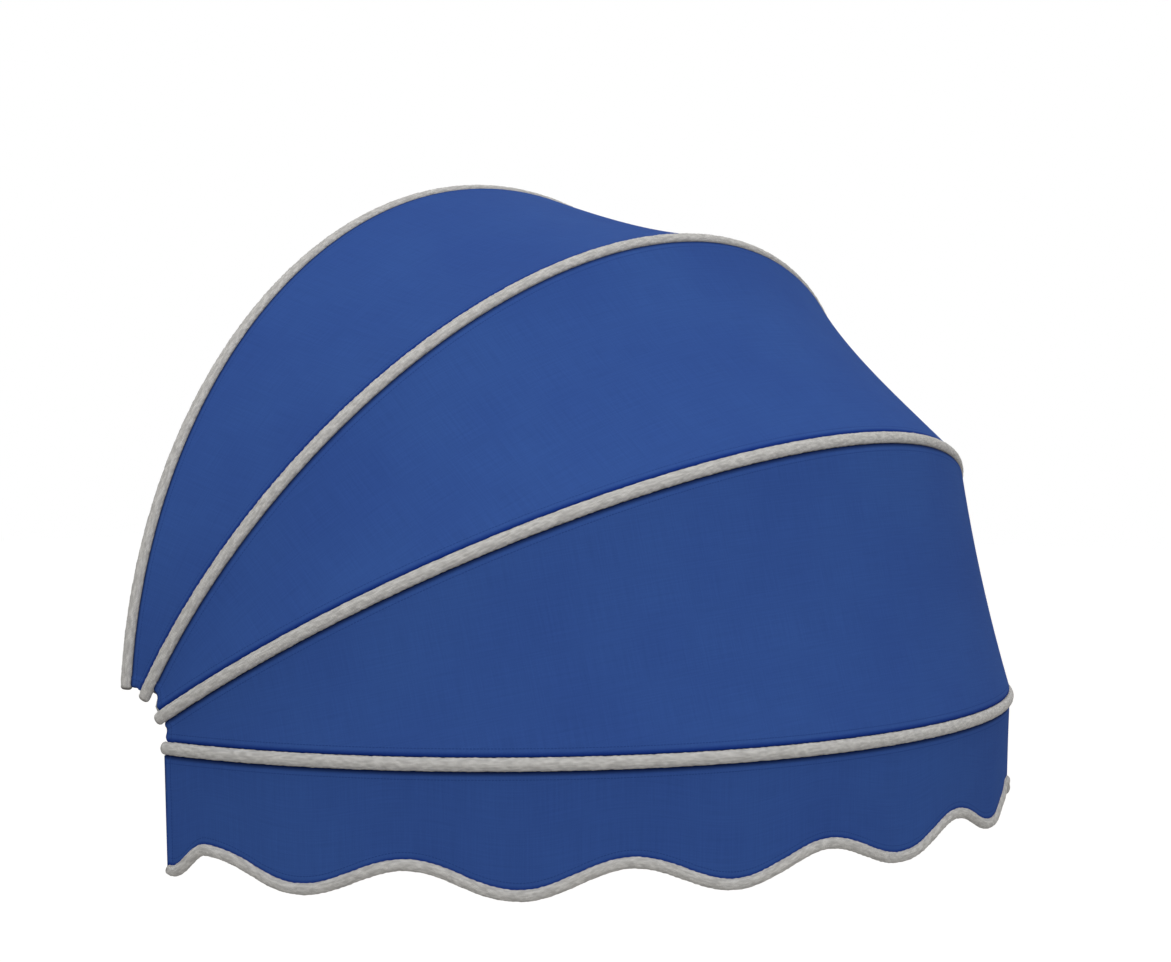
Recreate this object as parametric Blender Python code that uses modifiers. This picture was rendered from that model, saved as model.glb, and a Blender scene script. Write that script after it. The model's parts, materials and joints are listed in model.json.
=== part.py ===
"""A folding hooped window awning: four half-round tube bows that share one
axis, a blue canvas panel between each pair, braided piping over the seams and
a scalloped valance below the front bow. The three loose bows turn together on
a bolt at each end and fold flat against the wall.

Metres, +Z up, the window wall behind at +Y, the canopy towards -Y. The origin
lies on the wall, behind the clip at the top of the wall bow."""

import bpy
import bmesh
from math import acos, asin, atan2, cos, floor, hypot, pi, radians, sin
from mathutils import Matrix, Vector

# Canopy
CANVAS_RADIUS = 0.795  # outside of the canvas over a bow, from the bows' common axis
CANVAS_THICKNESS = 0.0012
CANVAS_START = 0.0825  # the canvas is cut away round the hinge, up to here
FAN_ANGLES = (0, 30, 60, 90)  # each bow's lean from the wall, in degrees
ARC_STEPS = 27  # odd, so that a straight facet lies at the top of each bow
LEAST_FACET = 0.0018  # a shorter facet at a bow's end joins the next one

# Piping and edging, both of oval braid
PIPING_WIDTH = 0.017
PIPING_HEIGHT = 0.0135
PIPING_START = 0.0735
EDGING_WIDTH = 0.015
EDGING_DEPTH = 0.011

# Valance
VALANCE_DROP = 0.1452  # to the middle of the wavy edging
VALANCE_WAVE = 0.0186
VALANCE_WAVES = 9
VALANCE_START = 0.0755
LAST_TROUGH = 0.084  # the last trough is drawn in to here, off the bow's axis
LAST_DEPTH = 0.9  # how deep the last trough is, against the others
LAST_CLEAR = 0.0003  # between cloth and edging there, where the wave is tight
FACET_PARTS = 4  # how finely each facet of the arc follows the waves

# Tubes
TUBE_DIAMETER = 0.020
TUBE_WALL = 0.0015
TUBE_START = 0.098
TUBE_SIDES = 10

# Hinge. The pivot lies off the bows' common axis, so that the folded bows lie
# one in front of the other instead of inside each other.
PIVOT_FORWARD = 0.0364
PIVOT_RISE = 0.0476
BOLT_DIAMETER = 0.008
BOLT_HEAD = 0.013
BOLT_HEAD_HEIGHT = 0.0042
NUT_WIDTH = 0.013
NUT_HEIGHT = 0.0065
BOLT_END = 0.0025
WASHER_STEP = 0.003  # the washers are this much smaller than the hubs all round
WASHER_THICKNESS = 0.0009
PLATE_THICKNESS = 0.003
EAR_THICKNESS = 0.004
HUB_RADIUS = 0.012
WEB_LAP = 0.0024  # how far the bracket's web laps onto its hub
FIRST_PLATE = 0.031  # from the bows' widest point in to the upper bow's plate
SPIGOT_LENGTH = 0.038
SPIGOT_CLEAR = 0.004  # from a spigot's tip to the tube's first bend
COLLAR_LENGTH = 0.019
COLLAR_STEP = 0.001  # the collar is this much slimmer than the tube all round
BOSS_RADIUS = 0.007

# Wall fittings
WALL_GAP = 0.0004  # between a tube and the foot behind it
FOOT_THICKNESS = 0.0036
CLIP_WIDTH = 0.025
CLIP_STRAP = 0.002
CLIP_FOOT = 0.030  # how far the foot reaches in past the strap
CLIP_SWEEP = 105  # degrees of the tube that the strap goes round
CLIP_STEPS = (6, 13, 20)  # the facets of the wall bow that the clips hold
SCREW_HOLE = 0.0055
FLANGE_WIDTH = 0.038
FLANGE_BOTTOM = 0.078
FLANGE_HEIGHT = 0.076
EAR_TOP = 0.044  # above the foot of the flange
SCREW_INSET = 0.015

# Cord guides
EYE_WIDTH = 0.020
EYE_DEPTH = 0.014
EYE_SADDLE = 0.005
EYE_RING = 0.020
EYE_HOLE = 0.012
EYE_THICKNESS = 0.006
PULLEY_FORWARD = 0.0165  # wheel centre, out from the foot's front
WHEEL_DIAMETER = 0.028
WHEEL_WIDTH = 0.009
GROOVE_DEPTH = 0.004
GROOVE_FLOOR = 0.0018  # width of the groove's flat bottom
WHEEL_RIM = 0.001125  # width of the flat on each side of the groove
AXLE_DIAMETER = 0.006
AXLE_HEAD = 0.0095
AXLE_HEAD_HEIGHT = 0.0015
CHEEK_THICKNESS = 0.0025
CHEEK_RADIUS = 0.011
CHEEK_FLARE = 0.0033  # wider than that at the foot, on each side
PULLEY_FOOT_WIDTH = 0.030
PULLEY_FOOT_HEIGHT = 0.062
PULLEY_SCREW_INSET = 0.00825

GAP = 0.0003  # between parts that touch

# Worked out from the sizes above
STEP = pi / ARC_STEPS
FLAT = cos(STEP / 2)  # a facet's middle against its corners
TUBE_RADIUS = TUBE_DIAMETER / 2
SEAM_LEAN = radians(FAN_ANGLES[1] - FAN_ANGLES[0]) / 2
TUBE_ARC = CANVAS_RADIUS - (TUBE_RADIUS + CANVAS_THICKNESS + GAP) / cos(SEAM_LEAN)
PIPING_ARC = CANVAS_RADIUS + GAP + PIPING_HEIGHT / 2
FOOT_FRONT = TUBE_RADIUS + WALL_GAP
WALL = FOOT_FRONT + FOOT_THICKNESS
PIVOT = Vector((0, -PIVOT_FORWARD, PIVOT_RISE))
PLATE_PITCH = PLATE_THICKNESS + WASHER_THICKNESS + 2 * GAP
HALF = CANVAS_RADIUS + GAP + PIPING_HEIGHT / 2
CLIP_RADIUS = TUBE_RADIUS + GAP
CLIP_LOW = TUBE_ARC * FLAT - CLIP_RADIUS - CLIP_STRAP - CLIP_FOOT
CLIP_HIGH = TUBE_ARC * FLAT + CLIP_RADIUS
TOP_CLIP_MIDDLE = (CLIP_LOW + CLIP_HIGH) / 2
AXIS_PLACE = Vector((0, -WALL, -TOP_CLIP_MIDDLE))


# Scene

for old in list(bpy.data.objects):
    bpy.data.objects.remove(old)
parts = bpy.data.collections.new("window_awning")
helpers = bpy.data.collections.new("construction")
bpy.context.scene.collection.children.link(parts)
bpy.context.scene.collection.children.link(helpers)


def material(name, colour, roughness, metallic=0.0):
    made = bpy.data.materials.new(name)
    made.diffuse_color = (*colour, 1)
    made.use_nodes = True
    shader = made.node_tree.nodes["Principled BSDF"]
    shader.inputs["Base Color"].default_value = (*colour, 1)
    shader.inputs["Roughness"].default_value = roughness
    shader.inputs["Metallic"].default_value = metallic
    return made


CANVAS = material("blue_canvas", (0.032, 0.082, 0.270), 0.85)
BRAID = material("grey_braid", (0.400, 0.392, 0.376), 0.80)
ALUMINIUM = material("mill_aluminium", (0.610, 0.620, 0.630), 0.35, 1.0)
CASTING = material("cast_fitting", (0.420, 0.425, 0.430), 0.50, 0.9)
STEEL = material("zinc_steel", (0.560, 0.565, 0.560), 0.30, 1.0)
NYLON = material("white_nylon", (0.800, 0.790, 0.760), 0.45)


def empty(name, place, lean=0.0):
    made = bpy.data.objects.new(name, None)
    made.empty_display_size = 0.05
    made.location = place
    made.rotation_euler = (lean, 0, 0)
    parts.objects.link(made)
    return made


frame = empty("common_axis", AXIS_PLACE)
pivots = [
    empty(name, AXIS_PLACE + PIVOT, radians(angle))
    for name, angle in zip(
        ("upper_pivot", "middle_pivot", "front_pivot"), FAN_ANGLES[1:]
    )
]


def placed(empty_object):
    """The empty's matrix, as its location and rotation give it."""
    return Matrix.Translation(empty_object.location) @ Matrix.Rotation(
        empty_object.rotation_euler[0], 4, "X"
    )


def leaning(angle):
    """From a bow's own plane (X across, Z out from the axis) to its place."""
    return Matrix.Rotation(radians(angle), 4, "X")


# Shapes


def mesh_of(obj):
    """The object's evaluated shape as a mesh object, its caps welded."""
    graph = bpy.context.evaluated_depsgraph_get()
    data = bpy.data.meshes.new_from_object(obj.evaluated_get(graph))
    held = bmesh.new()
    held.from_mesh(data)
    bmesh.ops.remove_doubles(held, verts=held.verts, dist=1e-6)
    bmesh.ops.recalc_face_normals(held, faces=held.faces)
    held.to_mesh(data)
    held.free()
    made = bpy.data.objects.new(obj.name, data)
    helpers.objects.link(made)
    made.matrix_world = obj.matrix_world.copy()
    bpy.data.objects.remove(obj)
    return made


def moved(obj, matrix):
    obj.data.transform(matrix)
    return obj


def boolean(base, others, operation):
    for other in others:
        joint = base.modifiers.new(operation.lower(), "BOOLEAN")
        joint.operation = operation
        joint.solver = "EXACT"
        joint.object = other
    made = mesh_of(base)
    for other in others:
        bpy.data.objects.remove(other)
    return made


def union(*pieces):
    return boolean(pieces[0], pieces[1:], "UNION")


def cut(base, *cutters):
    return boolean(base, cutters, "DIFFERENCE")


def bar(radius, length, sides=16, direction="Z"):
    """A cylinder from the origin along the given axis."""
    bpy.ops.mesh.primitive_cylinder_add(
        vertices=sides, radius=radius, depth=length, location=(0, 0, 0)
    )
    made = bpy.context.object
    made.data.transform(Matrix.Translation((0, 0, length / 2)))
    if direction == "X":
        made.data.transform(Matrix.Rotation(pi / 2, 4, "Y"))
    if direction == "Y":
        made.data.transform(Matrix.Rotation(-pi / 2, 4, "X"))
    for holder in list(made.users_collection):
        holder.objects.unlink(made)
    helpers.objects.link(made)
    return made


def box(low, high):
    bpy.ops.mesh.primitive_cube_add(size=1)
    made = bpy.context.object
    size = [b - a for a, b in zip(low, high)]
    middle = [(a + b) / 2 for a, b in zip(low, high)]
    made.data.transform(Matrix.Translation(middle) @ Matrix.Diagonal((*size, 1)))
    for holder in list(made.users_collection):
        holder.objects.unlink(made)
    helpers.objects.link(made)
    return made


def curve(name, splines, closed, flat=False):
    data = bpy.data.curves.new(name, "CURVE")
    data.dimensions = "2D" if flat else "3D"
    for points in splines:
        spline = data.splines.new("POLY")
        spline.points.add(len(points) - 1)
        for point, place in zip(spline.points, points):
            point.co = (*place, *(0,) * (3 - len(place)), 1)
        spline.use_cyclic_u = closed
    made = bpy.data.objects.new(name, data)
    helpers.objects.link(made)
    return made


def plate(outlines, thickness, low=0.0):
    """A flat outline in the YZ plane, with any holes, along +X from low."""
    made = curve("plate", outlines, True, True)
    made.data.fill_mode = "BOTH"
    made.data.extrude = thickness / 2
    # the curve's X and Y become Y and Z
    turn = Matrix(((0, 0, 1, 0), (1, 0, 0, 0), (0, 1, 0, 0), (0, 0, 0, 1)))
    return moved(mesh_of(made), Matrix.Translation((low + thickness / 2, 0, 0)) @ turn)


def ring_points(middle, radius, sides=16):
    return [
        (
            middle[0] + radius * cos(2 * pi * (i + 0.5) / sides),
            middle[1] + radius * sin(2 * pi * (i + 0.5) / sides),
        )
        for i in range(sides)
    ]


def round_hull(first, first_radius, second, second_radius, steps=7):
    """The outline round two circles, anticlockwise."""
    across = (second[0] - first[0], second[1] - first[1])
    away = atan2(across[1], across[0])
    open_by = acos((first_radius - second_radius) / hypot(*across))
    points = []
    for i in range(steps + 1):
        turn = away + open_by + (2 * pi - 2 * open_by) * i / steps
        points.append(
            (
                first[0] + first_radius * cos(turn),
                first[1] + first_radius * sin(turn),
            )
        )
    for i in range(steps + 1):
        turn = away - open_by + 2 * open_by * i / steps
        points.append(
            (
                second[0] + second_radius * cos(turn),
                second[1] + second_radius * sin(turn),
            )
        )
    return points


# Bows


def rim(radius, angle):
    """A point of the faceted half circle, in a bow's own plane."""
    held = min(floor(angle / STEP), ARC_STEPS - 1)
    part = angle / STEP - held
    low, high = held * STEP, (held + 1) * STEP
    return Vector(
        (
            -radius * ((1 - part) * cos(low) + part * cos(high)),
            0,
            radius * ((1 - part) * sin(low) + part * sin(high)),
        )
    )


def stations(radius, start, parts=1, straight=LEAST_FACET):
    """The bow's corners, between two ends that lie `start` off the axis, with
    each facet in so many parts and each end straight for at least so long."""
    first = asin(start / radius)
    step = STEP / parts
    bend = first + straight / radius
    inner = [
        i * step for i in range(ARC_STEPS * parts + 1) if bend < i * step < pi - bend
    ]
    return [first, *inner, pi - first]


def oval(width, height, sides=8):
    """A closed profile for a curve's bevel, `width` across the bow's plane."""
    points = [
        (
            height / 2 * cos(2 * pi * (i + 0.5) / sides) / cos(pi / sides),
            width / 2 * sin(2 * pi * (i + 0.5) / sides) / cos(pi / sides),
        )
        for i in range(sides)
    ]
    return curve("oval", [points], True, True)


def swept(path, width, height):
    """Solid braid of oval section along a path."""
    profile = oval(width, height)
    made = curve("braid", [path], False)
    made.data.bevel_mode = "OBJECT"
    made.data.bevel_object = profile
    made.data.twist_mode = "Z_UP"
    made.data.use_fill_caps = True
    made = mesh_of(made)
    bpy.data.objects.remove(profile)
    return made


def bow_path(radius, start, straight=LEAST_FACET):
    return [rim(radius, angle) for angle in stations(radius, start, 1, straight)]


def tube_path():
    """The tube's line. Its ends stay straight where the spigots fill them."""
    return bow_path(TUBE_ARC, TUBE_START, SPIGOT_LENGTH + SPIGOT_CLEAR)


def bow_tube():
    """A hollow tube bent to the bow, open at both ends."""
    made = curve("tube", [tube_path()], False)
    made.data.bevel_depth = TUBE_RADIUS
    made.data.bevel_resolution = (TUBE_SIDES - 4) // 2
    made = mesh_of(made)
    wall = made.modifiers.new("wall", "SOLIDIFY")
    wall.thickness = TUBE_WALL
    wall.offset = -1
    wall.use_even_offset = True
    return mesh_of(made)


def bow_piping():
    """Swept in a level plane, so that the oval stays upright, and then raised."""
    path = [(p.x, p.z, 0) for p in bow_path(PIPING_ARC, PIPING_START)]
    braid = swept(path, PIPING_WIDTH, PIPING_HEIGHT)
    return moved(braid, Matrix.Rotation(pi / 2, 4, "X"))


def loft(rails, thickness, outward):
    """A sheet between two rails of as many points, made solid inwards."""
    first, second = rails
    data = bpy.data.meshes.new("sheet")
    held = bmesh.new()
    one = [held.verts.new(point) for point in first]
    two = [held.verts.new(point) for point in second]
    for i in range(len(one) - 1):
        held.faces.new((one[i], one[i + 1], two[i + 1], two[i]))
    held.normal_update()
    middle = held.faces[:][len(one) // 2]
    if middle.normal.dot(Vector(outward)) < 0:
        bmesh.ops.reverse_faces(held, faces=held.faces)
    held.to_mesh(data)
    held.free()
    made = bpy.data.objects.new("sheet", data)
    helpers.objects.link(made)
    shell = made.modifiers.new("cloth", "SOLIDIFY")
    shell.thickness = thickness
    shell.offset = -1
    return mesh_of(made)


def canopy_panel(low, high):
    """The panel between two bows. Its edges butt over the tubes."""
    angles = stations(CANVAS_RADIUS, CANVAS_START)
    rails = []
    for angle, side in ((low, 1), (high, -1)):
        back = GAP / 2 + CANVAS_THICKNESS * sin(SEAM_LEAN)
        out = leaning(angle) @ Vector((0, -back * side, 0))
        rails.append(
            [leaning(angle) @ rim(CANVAS_RADIUS, turn) + out for turn in angles]
        )
    middle = radians((low + high) / 2)
    return loft(rails, CANVAS_THICKNESS, (0, -sin(middle), cos(middle)))


HALF_WAVE = pi / (2 * VALANCE_WAVES)


def wave(turn):
    """The edging's depth below the front bow and its slope, at an angle along
    it. The half wave at each end is drawn in, so that it ends in a trough."""
    along = HALF_WAVE - min(turn, pi - turn)
    rate, height = pi / HALF_WAVE, VALANCE_WAVE
    if along > 0:
        rate = pi / (HALF_WAVE - asin(LAST_TROUGH / CANVAS_RADIUS))
        height = VALANCE_WAVE * LAST_DEPTH
    depth = VALANCE_DROP - VALANCE_WAVE + height * (1 - cos(rate * along))
    return depth, height * rate * sin(rate * along) / CANVAS_RADIUS


def edging_top(turn):
    """The depth of the edging's upper side, where the cloth meets it. In the
    drawn-in waves it is the top of all circles of its width along the edging."""
    depth, slope = wave(turn)
    half = EDGING_WIDTH / 2
    top = depth - half * hypot(1, slope)
    if min(turn, pi - turn) < HALF_WAVE:
        for i in range(-8, 9):
            aside = half * sin(i * pi / 16)
            near = wave(turn + aside / CANVAS_RADIUS)[0]
            top = min(top, near - half * cos(i * pi / 16) - LAST_CLEAR)
    return top - GAP


def wave_stations():
    """The front bow's stations, five times as close in the drawn-in waves."""
    angles = stations(CANVAS_RADIUS, VALANCE_START, FACET_PARTS)
    closer = [
        a + (b - a) * i / 5
        for a, b in zip(angles, angles[1:])
        for i in range(1, 5)
        if min(a, pi - b) < HALF_WAVE - 0.001
    ]
    return sorted(angles + closer)


def below_front(radius, turn, depth):
    """A point under the front bow, whose plane is level."""
    across = rim(radius, turn)
    return Vector((across.x, -across.z, -depth))


def valance():
    angles = wave_stations()
    top = [below_front(CANVAS_RADIUS, turn, GAP) for turn in angles]
    foot = [below_front(CANVAS_RADIUS, turn, edging_top(turn)) for turn in angles]
    return loft((top, foot), CANVAS_THICKNESS, (0, -1, 0))


def edging():
    radius = CANVAS_RADIUS - CANVAS_THICKNESS / 2
    path = [below_front(radius, turn, wave(turn)[0]) for turn in wave_stations()]
    return swept(path, EDGING_WIDTH, EDGING_DEPTH)


# Hinges


def pivot_in(angle):
    """The pivot in a bow's own plane, as (Y, Z)."""
    place = leaning(-angle) @ PIVOT
    return place.y, place.z


def plate_start(number):
    """Where hinge plate `number` starts, in from the widest point."""
    return FIRST_PLATE + number * PLATE_PITCH


EAR_START = plate_start(3)


def spigot():
    """What fills a bow's end: a spigot, and a collar that the tube meets."""
    first, second = tube_path()[:2]
    along = (second - first).normalized()
    inside = (TUBE_RADIUS - TUBE_WALL) * cos(pi / TUBE_SIDES) - GAP
    turn = along.to_track_quat("Z", "Y").to_matrix().to_4x4()
    pin = moved(
        bar(inside, SPIGOT_LENGTH + COLLAR_LENGTH / 2, 10),
        Matrix.Translation(first - along * COLLAR_LENGTH / 2) @ turn,
    )
    collar = moved(
        bar(TUBE_RADIUS - COLLAR_STEP, COLLAR_LENGTH, 14),
        Matrix.Translation(first - along * (COLLAR_LENGTH + GAP)) @ turn,
    )
    return union(collar, pin), first - along * (COLLAR_LENGTH / 2 + GAP)


def boss(collar_middle, reach):
    """A round boss from the collar in to the inner face of a plate."""
    start = collar_middle.x
    return moved(
        bar(BOSS_RADIUS, -HALF + reach - start, 12, "X"),
        Matrix.Translation(collar_middle),
    )


def hinge_arm(number):
    """The left arm of bow 1, 2 or 3, in that bow's own plane."""
    fitting, middle = spigot()
    start = plate_start(number - 1)
    hub = pivot_in(FAN_ANGLES[number])
    outline = round_hull(hub, HUB_RADIUS, (middle.y, middle.z), BOSS_RADIUS)
    hole = ring_points(hub, BOLT_DIAMETER / 2 + GAP, 12)
    arm = plate([outline, hole], PLATE_THICKNESS, -HALF + start)
    return union(fitting, boss(middle, start + PLATE_THICKNESS / 2), arm)


def hinge_bracket():
    """The left wall bracket: it fills the wall bow's end and holds the bolt."""
    fitting, middle = spigot()
    hub = (PIVOT.y, PIVOT.z)
    flange_top = FLANGE_BOTTOM + FLANGE_HEIGHT
    ear_top = FLANGE_BOTTOM + EAR_TOP
    hull = round_hull(
        hub, HUB_RADIUS, (FOOT_FRONT - BOSS_RADIUS, ear_top - BOSS_RADIUS), BOSS_RADIUS
    )
    hole = ring_points(hub, BOLT_DIAMETER / 2 + GAP, 12)
    ear = plate([hull, hole], EAR_THICKNESS, -HALF + EAR_START)
    foot = plate(
        [
            [
                (hub[0], hub[1] - HUB_RADIUS),
                (FOOT_FRONT + FOOT_THICKNESS / 2, FLANGE_BOTTOM),
                (FOOT_FRONT + FOOT_THICKNESS / 2, ear_top),
                (hub[0], hub[1] + HUB_RADIUS / 2),
            ]
        ],
        EAR_THICKNESS,
        -HALF + EAR_START,
    )
    foot = cut(
        foot,
        moved(
            bar(HUB_RADIUS - WEB_LAP, 2 * EAR_THICKNESS, 12, "X"),
            Matrix.Translation((-HALF + EAR_START - EAR_THICKNESS / 2, *hub)),
        ),
    )
    flange = box(
        (-HALF + EAR_START, FOOT_FRONT, FLANGE_BOTTOM),
        (-HALF + EAR_START + FLANGE_WIDTH, WALL, flange_top),
    )
    holes = [
        moved(
            bar(SCREW_HOLE / 2, 2 * FOOT_THICKNESS, 10, "Y"),
            Matrix.Translation(
                (
                    -HALF + EAR_START + (FLANGE_WIDTH + EAR_THICKNESS) / 2,
                    FOOT_FRONT - FOOT_THICKNESS / 2,
                    height,
                )
            ),
        )
        for height in (FLANGE_BOTTOM + SCREW_INSET, flange_top - SCREW_INSET)
    ]
    return union(
        cut(flange, *holes),
        foot,
        ear,
        boss(middle, EAR_START + EAR_THICKNESS / 2),
        fitting,
    )


def bolt_stack():
    """The left pivot bolt, its nut and the washers between the plates."""
    start = plate_start(0)
    hub = Matrix.Translation((-HALF, PIVOT.y, PIVOT.z))
    head_low = start - GAP - BOLT_HEAD_HEIGHT
    nut_low = EAR_START + EAR_THICKNESS + GAP
    end = nut_low + NUT_HEIGHT + BOLT_END
    radius = BOLT_DIAMETER / 2
    across = 1 / cos(pi / 6)
    head = moved(
        bar(BOLT_HEAD / 2 * across, BOLT_HEAD_HEIGHT, 6, "X"),
        Matrix.Translation((head_low, 0, 0)),
    )
    shank = moved(
        bar(radius, end - head_low - BOLT_HEAD_HEIGHT / 2, 12, "X"),
        Matrix.Translation((head_low + BOLT_HEAD_HEIGHT / 2, 0, 0)),
    )
    nut = cut(
        moved(
            bar(NUT_WIDTH / 2 * across, NUT_HEIGHT, 6, "X"),
            Matrix.Translation((nut_low, 0, 0)),
        ),
        moved(
            bar(radius + GAP, 3 * NUT_HEIGHT, 12, "X"),
            Matrix.Translation((nut_low - NUT_HEIGHT, 0, 0)),
        ),
    )
    stack = {"pivot_bolt": moved(union(head, shank), hub), "pivot_nut": moved(nut, hub)}
    for number, name in enumerate(("outer_washer", "middle_washer", "inner_washer")):
        low = plate_start(number) + PLATE_THICKNESS + GAP
        stack[name] = moved(
            plate(
                [
                    ring_points((0, 0), HUB_RADIUS - WASHER_STEP, 12),
                    ring_points((0, 0), radius + GAP, 12),
                ],
                WASHER_THICKNESS,
                low,
            ),
            hub,
        )
    return stack


# Wall clips and cord guides


def wall_clip():
    """A hooked clip: its foot is screwed to the wall and its strap holds the
    tube from the inner side. In the wall bow's plane, at the top."""
    middle = TUBE_ARC * FLAT
    outer = CLIP_RADIUS + CLIP_STRAP
    strap = []
    for radius, order in ((outer, 1), (CLIP_RADIUS, -1)):
        sweep = [pi + radians(CLIP_SWEEP) * i / 9 for i in range(10)][::order]
        strap += [(radius * cos(t), middle + radius * sin(t)) for t in sweep]
    strap = plate([strap], CLIP_WIDTH, -CLIP_WIDTH / 2)
    throat = plate(
        [
            [
                (0, middle - CLIP_RADIUS),
                (0, middle - outer),
                (FOOT_FRONT + FOOT_THICKNESS / 2, middle - outer),
                (FOOT_FRONT + FOOT_THICKNESS / 2, middle - CLIP_RADIUS),
            ]
        ],
        CLIP_WIDTH,
        -CLIP_WIDTH / 2,
    )
    foot = box(
        (-CLIP_WIDTH / 2, FOOT_FRONT, CLIP_LOW), (CLIP_WIDTH / 2, WALL, CLIP_HIGH)
    )
    hole = moved(
        bar(SCREW_HOLE / 2, 2 * FOOT_THICKNESS, 10, "Y"),
        Matrix.Translation((0, FOOT_FRONT - FOOT_THICKNESS / 2, CLIP_LOW + CLIP_FOOT / 2)),
    )
    return union(cut(foot, hole), throat, strap)


def guide_eye():
    """An eye under a bow at its top: a saddle that the tube lies in, with a
    ring below for the cord."""
    middle = TUBE_ARC * FLAT
    low = middle - TUBE_RADIUS - GAP - EYE_SADDLE
    saddle = box(
        (-EYE_WIDTH / 2, -EYE_DEPTH / 2, low),
        (EYE_WIDTH / 2, EYE_DEPTH / 2, middle - TUBE_RADIUS / 2),
    )
    ring_middle = low - EYE_RING / 2 + (EYE_RING - EYE_HOLE) / 4
    ring = plate(
        [
            ring_points((0, 0), EYE_RING / 2, 16),
            ring_points((0, 0), EYE_HOLE / 2, 12),
        ],
        EYE_THICKNESS,
        -EYE_THICKNESS / 2,
    )
    ring = moved(
        ring, Matrix.Translation((0, 0, ring_middle)) @ Matrix.Rotation(pi / 2, 4, "Z")
    )
    seat = moved(
        bar((TUBE_RADIUS + GAP) / cos(pi / 16), 2 * EYE_WIDTH, 16, "X"),
        Matrix.Translation((-EYE_WIDTH, 0, middle)),
    )
    return union(cut(saddle, seat), ring)


def pulley():
    """The cord's pulley on the wall, its foot against the top clip's."""
    wheel_at = Matrix.Translation(
        (0, FOOT_FRONT - PULLEY_FORWARD, CLIP_LOW - GAP - PULLEY_FOOT_HEIGHT / 2)
    )
    inner = WHEEL_WIDTH / 2 + GAP
    outer = inner + CHEEK_THICKNESS
    back = PULLEY_FORWARD + FOOT_THICKNESS / 2
    pieces = [
        box(
            (-PULLEY_FOOT_WIDTH / 2, PULLEY_FORWARD, -PULLEY_FOOT_HEIGHT / 2),
            (
                PULLEY_FOOT_WIDTH / 2,
                PULLEY_FORWARD + FOOT_THICKNESS,
                PULLEY_FOOT_HEIGHT / 2,
            ),
        )
    ]
    hole = AXLE_DIAMETER / 2 + GAP
    for low in (-outer, inner):
        cheek = [
            (CHEEK_RADIUS * cos(t), CHEEK_RADIUS * sin(t))
            for t in [pi / 2 + pi * i / 8 for i in range(9)]
        ]
        base = CHEEK_RADIUS + CHEEK_FLARE
        cheek += [(back, -base), (back, base)]
        pieces.append(
            plate([cheek, ring_points((0, 0), hole, 12)], CHEEK_THICKNESS, low)
        )
    holes = [
        moved(
            bar(SCREW_HOLE / 2, 3 * FOOT_THICKNESS, 10, "Y"),
            Matrix.Translation((0, PULLEY_FORWARD - FOOT_THICKNESS, height)),
        )
        for height in (
            PULLEY_SCREW_INSET - PULLEY_FOOT_HEIGHT / 2,
            PULLEY_FOOT_HEIGHT / 2 - PULLEY_SCREW_INSET,
        )
    ]
    bracket = union(cut(pieces[0], *holes), *pieces[1:])
    rim_radius, groove = WHEEL_DIAMETER / 2, WHEEL_DIAMETER / 2 - GROOVE_DEPTH
    half = WHEEL_WIDTH / 2
    profile = [
        (hole, half),
        (rim_radius, half),
        (rim_radius, half - WHEEL_RIM),
        (groove, GROOVE_FLOOR / 2),
        (groove, -GROOVE_FLOOR / 2),
        (rim_radius, WHEEL_RIM - half),
        (rim_radius, -half),
        (hole, -half),
    ]
    data = bpy.data.meshes.new("wheel")
    data.from_pydata(
        [(r, 0, z) for r, z in profile],
        [(i, (i + 1) % len(profile)) for i in range(len(profile))],
        [],
    )
    wheel = bpy.data.objects.new("wheel", data)
    helpers.objects.link(wheel)
    spin = wheel.modifiers.new("turned", "SCREW")
    spin.steps = spin.render_steps = 20
    spin.use_merge_vertices = True
    spin.merge_threshold = 0.00001
    wheel = moved(mesh_of(wheel), Matrix.Rotation(pi / 2, 4, "Y"))
    head_low = outer + GAP
    axle = union(
        moved(
            bar(AXLE_DIAMETER / 2, 2 * head_low + AXLE_HEAD_HEIGHT, 12, "X"),
            Matrix.Translation((-head_low - AXLE_HEAD_HEIGHT / 2, 0, 0)),
        ),
        moved(
            bar(AXLE_HEAD / 2, AXLE_HEAD_HEIGHT, 12, "X"),
            Matrix.Translation((head_low, 0, 0)),
        ),
        moved(
            bar(AXLE_HEAD / 2, AXLE_HEAD_HEIGHT, 12, "X"),
            Matrix.Translation((-head_low - AXLE_HEAD_HEIGHT, 0, 0)),
        ),
    )
    return [moved(piece, wheel_at) for piece in (bracket, wheel, axle)]


# Assembly


def fit(obj, name, finish, holder):
    """Names the piece, gives it its material and hangs it on its empty, with
    its own origin there. It comes in the common axis's place and lean."""
    obj.name = name
    obj.data.name = name
    obj.data.materials.clear()
    obj.data.materials.append(finish)
    obj.data.transform(placed(holder).inverted() @ Matrix.Translation(AXIS_PLACE))
    helpers.objects.unlink(obj)
    parts.objects.link(obj)
    obj.parent = holder
    obj.data.shade_smooth()
    obj.data.set_sharp_from_angle(angle=radians(35))
    return obj


def both_sides(obj, name, finish, holder):
    """The piece on the left and its mirror image on the right."""
    other = bpy.data.objects.new("mirror", obj.data.copy())
    helpers.objects.link(other)
    other.data.transform(Matrix.Diagonal((-1, 1, 1, 1)))
    other.data.flip_normals()
    fit(obj, name + "_left", finish, holder)
    fit(other, name + "_right", finish, holder)


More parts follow.
